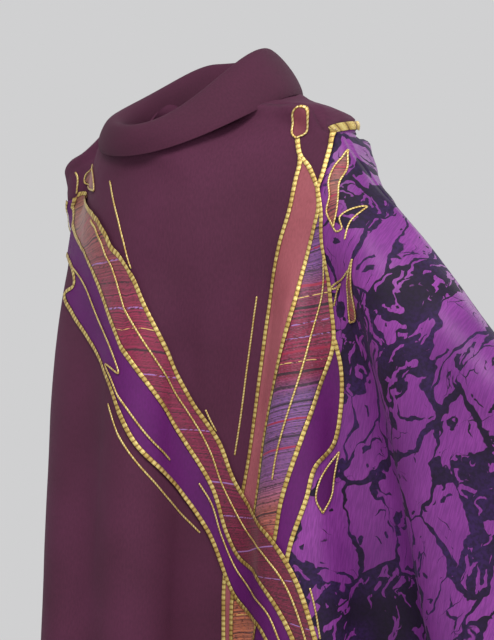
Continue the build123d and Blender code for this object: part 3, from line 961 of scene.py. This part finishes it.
BRIDGE_LEFT = line(
    (-206, 152), (-219, 170), (-199, 219), (-152, 249), (-107, 278), (-56, 338), (13, 427),
    (84, 520), (143, 599), (171, 661), (196, 692), (249, 708), (292, 736), (328, 785),
    (355, 860), (372, 940),
)
BRIDGE_RIGHT = line(
    (-202, 152), (-190, 170), (-140, 201), (-91, 234), (-45, 269), (-3, 305), (40, 371),
    (81, 446), (108, 485), (146, 533), (178, 590), (219, 625), (276, 654), (315, 698),
    (352, 775), (380, 850), (396, 930),
)
WAVE_OUTER = line(
    (-222, 150), (-236, 168), (-252, 200), (-248, 232), (-198, 262), (-160, 288), (-150, 312),
    (-172, 322), (-141, 355), (-95, 392), (-19, 463), (29, 548), (98, 610), (143, 663),
    (190, 744), (224, 763), (272, 776), (318, 832), (344, 900), (358, 950),
)
ROSE_LEFT = line(
    (222, 141), (226, 155), (227, 170), (229, 215), (219, 267), (207, 346), (202, 431), (197, 555),
    (184, 650), (172, 716), (175, 790), (186, 900), (195, 1040), (196, 1150),
)
BROCADE_LEFT = line(
    (262, 181), (274, 208), (274, 240), (266, 298), (262, 342), (247, 444), (235, 520),
    (228, 600), (212, 660), (188, 730), (188, 800), (202, 900), (216, 1040), (218, 1150),
)
ROSE_TOP = line((222, 141), (238, 154), (252, 170), (262, 181))
BROCADE_RIGHT = line(
    (262, 181), (280, 212), (292, 251), (303, 284), (313, 329), (325, 385), (312, 453),
    (297, 526), (284, 601), (280, 660), (264, 740), (244, 800), (246, 900), (268, 1040),
    (284, 1150),
)
LEFT_WAVE_OUTER = line(
    (326, 378), (341, 416), (349, 467), (346, 518), (322, 552), (316, 596), (304, 660),
    (300, 760), (302, 860), (318, 1000), (330, 1100),
)
SEAM_BRAID = line((212, 60), (228, 80), (246, 99), (252, 118), (257, 140), (261, 162), (262, 181))
ROSE_RIGHT = np.vstack([ROSE_TOP, BROCADE_LEFT[1:]])
LEFT_WAVE_INNER = BROCADE_RIGHT[BROCADE_RIGHT[:, 1] > 0.378]
LEFT_WAVE_INNER = LEFT_WAVE_INNER[LEFT_WAVE_INNER[:, 1] < 1.10]
TABLET = (
    line((200, 86), (195, 89), (197, 101), (201, 114), (208, 119)),
    line((200, 86), (210, 89), (216, 98), (217, 112), (208, 119)),
)
SHOULDER_LEAF = (
    line((-166, 124), (-183, 132), (-188, 148), (-140, 180), (-100, 198)),
    line((-166, 124), (-140, 145), (-118, 167), (-106, 182), (-100, 198)),
)
CRESCENT = (
    line((277, 117), (271, 145), (273, 168), (284, 189), (289, 211), (308, 228)),
    line((277, 117), (287, 144), (288, 167), (296, 186), (304, 207), (308, 228)),
)
SMALL_LEAF = (
    line((357, 261), (352, 290), (345, 329), (347, 351)),
    line((357, 261), (362, 308), (361, 343), (347, 351)),
)
TEARDROP = (
    line((356, 526), (332, 566), (329, 594), (341, 611)),
    line((356, 526), (353, 559), (352, 586), (341, 611)),
)

# Heights over the cloth: of the bands and their trim, and of those that cross over them
UNDER = 0.0012
UNDER_TRIM = 0.0016
OVER = 0.0040
OVER_TRIM = 0.0043
LOWER = 0.0006
BRAID_STEP = 0.0011
CORD_STEP = 0.0012

band("rose_band", ROSE_LEFT, ROSE_RIGHT, UNDER, ROSE, "rose_applique", (0.05, 1.05))
band(
    "left_brocade_band", BROCADE_LEFT, BROCADE_RIGHT, UNDER, LEFT_BROCADE, "striped_brocade",
    (0.08, 1.0),
)
band("left_wave", LEFT_WAVE_INNER, LEFT_WAVE_OUTER, UNDER, PURPLE, "purple_applique", (0.06, 0.75))
band("right_wave", WAVE_OUTER, BRIDGE_LEFT, OVER - LOWER, PURPLE, "purple_applique", (0.09, 1.15))
band(
    "right_brocade_band", BRIDGE_LEFT, BRIDGE_RIGHT, OVER, RIGHT_BROCADE, "striped_brocade",
    (0.08, 1.1),
)
band("rose_tablet", *TABLET, UNDER, LEAF_ROSE, "rose_applique", (0.032, 0.036), 0.00095)
band("shoulder_leaf", *SHOULDER_LEAF, UNDER, LEAF_BROCADE, "rose_applique", (0.04, 0.12))
band("crescent_leaf", *CRESCENT, UNDER, LEAF_BROCADE, "rose_applique", (0.02, 0.12))
band("small_leaf", *SMALL_LEAF, UNDER, LEAF_BROCADE, "rose_applique", (0.02, 0.1))
band("teardrop_leaf", *TEARDROP, UNDER, PURPLE, "purple_applique", (0.025, 0.09))

for node, points, lift in (
    ("bridge_left_braid", BRIDGE_LEFT, OVER_TRIM),
    ("bridge_right_braid", BRIDGE_RIGHT, OVER_TRIM),
    ("wave_braid", WAVE_OUTER, OVER_TRIM - LOWER),
    ("rose_braid", ROSE_LEFT, UNDER_TRIM),
    ("brocade_left_braid", BROCADE_LEFT, UNDER_TRIM),
    ("brocade_right_braid", BROCADE_RIGHT, UNDER_TRIM),
    ("left_wave_braid", LEFT_WAVE_OUTER, UNDER_TRIM),
    ("seam_braid", SEAM_BRAID, UNDER_TRIM),
    ("rose_stem_braid", line((210, 120), (222, 141), (238, 154), (262, 181)), UNDER_TRIM),
):
    braid(node, resampled(points, int(along_of(points)[-1] / BRAID_STEP)), lift)

for node, points, lift in (
    ("bridge_centre_cord", [(-93, 240), (-46, 285), (-15, 335), (29, 399), (81, 473), (114, 514),
     (138, 552), (160, 598), (205, 650), (266, 676), (304, 708), (345, 788), (372, 870)],
     OVER_TRIM),
    ("upper_wave_cord", [(-161, 284), (-125, 307), (-103, 325), (-65, 368), (-26, 407), (-1, 446),
     (-32, 434), (-15, 455), (5, 484), (45, 538), (76, 566)], OVER_TRIM),
    ("lower_wave_cord", [(124, 596), (145, 624), (164, 667), (192, 708), (224, 728), (282, 750),
     (312, 790)], OVER_TRIM),
    ("brocade_centre_cord", [(298, 268), (299, 325), (291, 381), (284, 437), (268, 542),
     (266, 576)], UNDER_TRIM),
    ("chest_cord", [(187, 332), (180, 433), (176, 503), (172, 553)], 0.0),
    ("upper_plum_cord", [(-57, 199), (-38, 233), (-21, 262), (-1, 302)], 0.0),
    ("lower_plum_cord", [(-24, 489), (17, 556), (63, 606), (131, 665)], 0.0),
    ("short_cord", [(126, 493), (134, 508), (143, 522)], 0.0),
    ("shoulder_cord", [(-199, 112), (-198, 130), (-204, 148)], 0.0),
    ("low_cord", [(337, 710), (347, 735), (359, 774)], 0.0),
    ("loop_cord", [(299, 223), (315, 232), (322, 226), (312, 212), (338, 182), (336, 192),
     (330, 214), (333, 239)], 0.0),
    ("fork_cord", [(353, 276), (339, 290), (316, 304), (311, 311), (318, 309), (330, 300),
     (322, 311), (318, 333)], 0.0),
):
    cord(node, line(*points, step=CORD_STEP), lift)

for node, edge in (
    ("shoulder_leaf_cord", np.vstack([SHOULDER_LEAF[0], SHOULDER_LEAF[1][::-1]])),
    ("tablet_cord", np.vstack([TABLET[0], TABLET[1][::-1]])),
    ("crescent_left_cord", CRESCENT[0]),
    ("crescent_right_cord", CRESCENT[1]),
    ("small_leaf_left_cord", SMALL_LEAF[0]),
    ("small_leaf_right_cord", SMALL_LEAF[1]),
    ("teardrop_left_cord", TEARDROP[0]),
    ("teardrop_right_cord", TEARDROP[1]),
):
    cord(node, resampled(edge, int(along_of(edge)[-1] / CORD_STEP)), UNDER_TRIM - LOWER)

collar()


# Tapes and facings inside the garment
STRIP_LIFT = -0.0026


def inner_strip(node, across, down, side):
    places = on_cloth(across, down, side, np.full(across.shape, STRIP_LIFT))
    cut = np.stack([across, down], -1)
    piece = grid_piece(node + "_look", places, COLLAR_PLUM, cut=cut)
    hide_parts(node)
    return piece


width = np.linspace(-0.5, 0.5, 5)[None, :]
for side, word in ((FRONT, "front"), (BACK, "back")):
    share = np.linspace(0.02, 0.97, 120)[:, None]
    middle = seam_at(side)(share)
    down = mix(shoulder(0.25), hem(0.30), share)
    across, down = np.broadcast_arrays(middle + 0.014 * width, down)
    inner_strip(f"{word}_seam_tape", across, down, side)
    across = HALF_WIDTH * 0.9 * np.linspace(-1, 1, 200)[:, None]
    across, down = np.broadcast_arrays(across, hem(across) - 0.002 - 0.030 * (0.5 - width))
    inner_strip(f"{word}_hem_facing", across, down, side)
for side, word in ((-1, "right"), (1, "left")):
    across = side * np.linspace(0.13, 0.70, 90)[:, None]
    across, down = np.broadcast_arrays(across, shoulder(across) + 0.010 + 0.014 * (width + 0.5))
    inner_strip(f"shoulder_tape_{word}", across, down, FRONT)


# Floor, light and camera
def studio():
    scene = bpy.context.scene
    world = bpy.data.worlds.new("studio")
    scene.world = world
    world.use_nodes = True
    world.node_tree.nodes["Background"].inputs["Color"].default_value = tone(208, 208, 209)
    mesh = bmesh.new()
    bmesh.ops.create_circle(mesh, cap_ends=True, segments=96, radius=2.2)
    floor = new_object("floor", mesh)
    floor.location = (0, 0, -1.30)
    pale = Shader("pale_floor", roughness=0.8)
    pale.put("Base Color", pale.ramp(
        pale.noise(pale.node("TexCoord").outputs["Object"], 30, 3),
        (0.3, tone(208, 208, 210)), (0.7, tone(216, 216, 218)),
    ))
    floor.data.materials.append(pale.material)
    aim = Vector((0.1, 0, -0.4))
    for name, place, size, power, colour in (
        ("key", (1.0, -1.7, 1.4), 0.9, 44, (1.0, 0.98, 0.96)),
        ("side", (2.6, -0.6, 0.5), 1.4, 20, (0.97, 0.97, 1.0)),
        ("back", (0.6, 2.2, 1.0), 1.2, 10, (1.0, 1.0, 1.0)),
    ):
        lamp = bpy.data.lights.new(name, "AREA")
        lamp.size = size
        lamp.energy = power
        lamp.color = colour
        holder = bpy.data.objects.new(name, lamp)
        scene.collection.objects.link(holder)
        holder.location = place
        holder.rotation_mode = "QUATERNION"
        holder.rotation_quaternion = (Vector(place) - aim).to_track_quat("Z", "Y")
    scene.view_settings.view_transform = "Standard"


SENSOR_WIDTH = 36
VIEW_DISTANCE = 2.2
VIEW_HEIGHT = 0.9552
VIEW_ASIDE = 0.07015
VIEW_DROP = 0.3015


def camera():
    """A level camera in front of the wearer's left side, taking in VIEW_HEIGHT metres."""
    right = Vector((math.cos(CAMERA_TURN), math.sin(CAMERA_TURN), 0))
    away = Vector((-math.sin(CAMERA_TURN), math.cos(CAMERA_TURN), 0))
    data = bpy.data.cameras.new("camera")
    data.sensor_width = SENSOR_WIDTH
    data.lens = SENSOR_WIDTH * VIEW_DISTANCE / VIEW_HEIGHT
    holder = bpy.data.objects.new("camera", data)
    bpy.context.scene.collection.objects.link(holder)
    holder.location = right * VIEW_ASIDE - away * VIEW_DISTANCE - Vector((0, 0, VIEW_DROP))
    holder.rotation_mode = "QUATERNION"
    holder.rotation_quaternion = (-away).to_track_quat("Z", "Y")
    bpy.context.scene.camera = holder


studio()
camera()
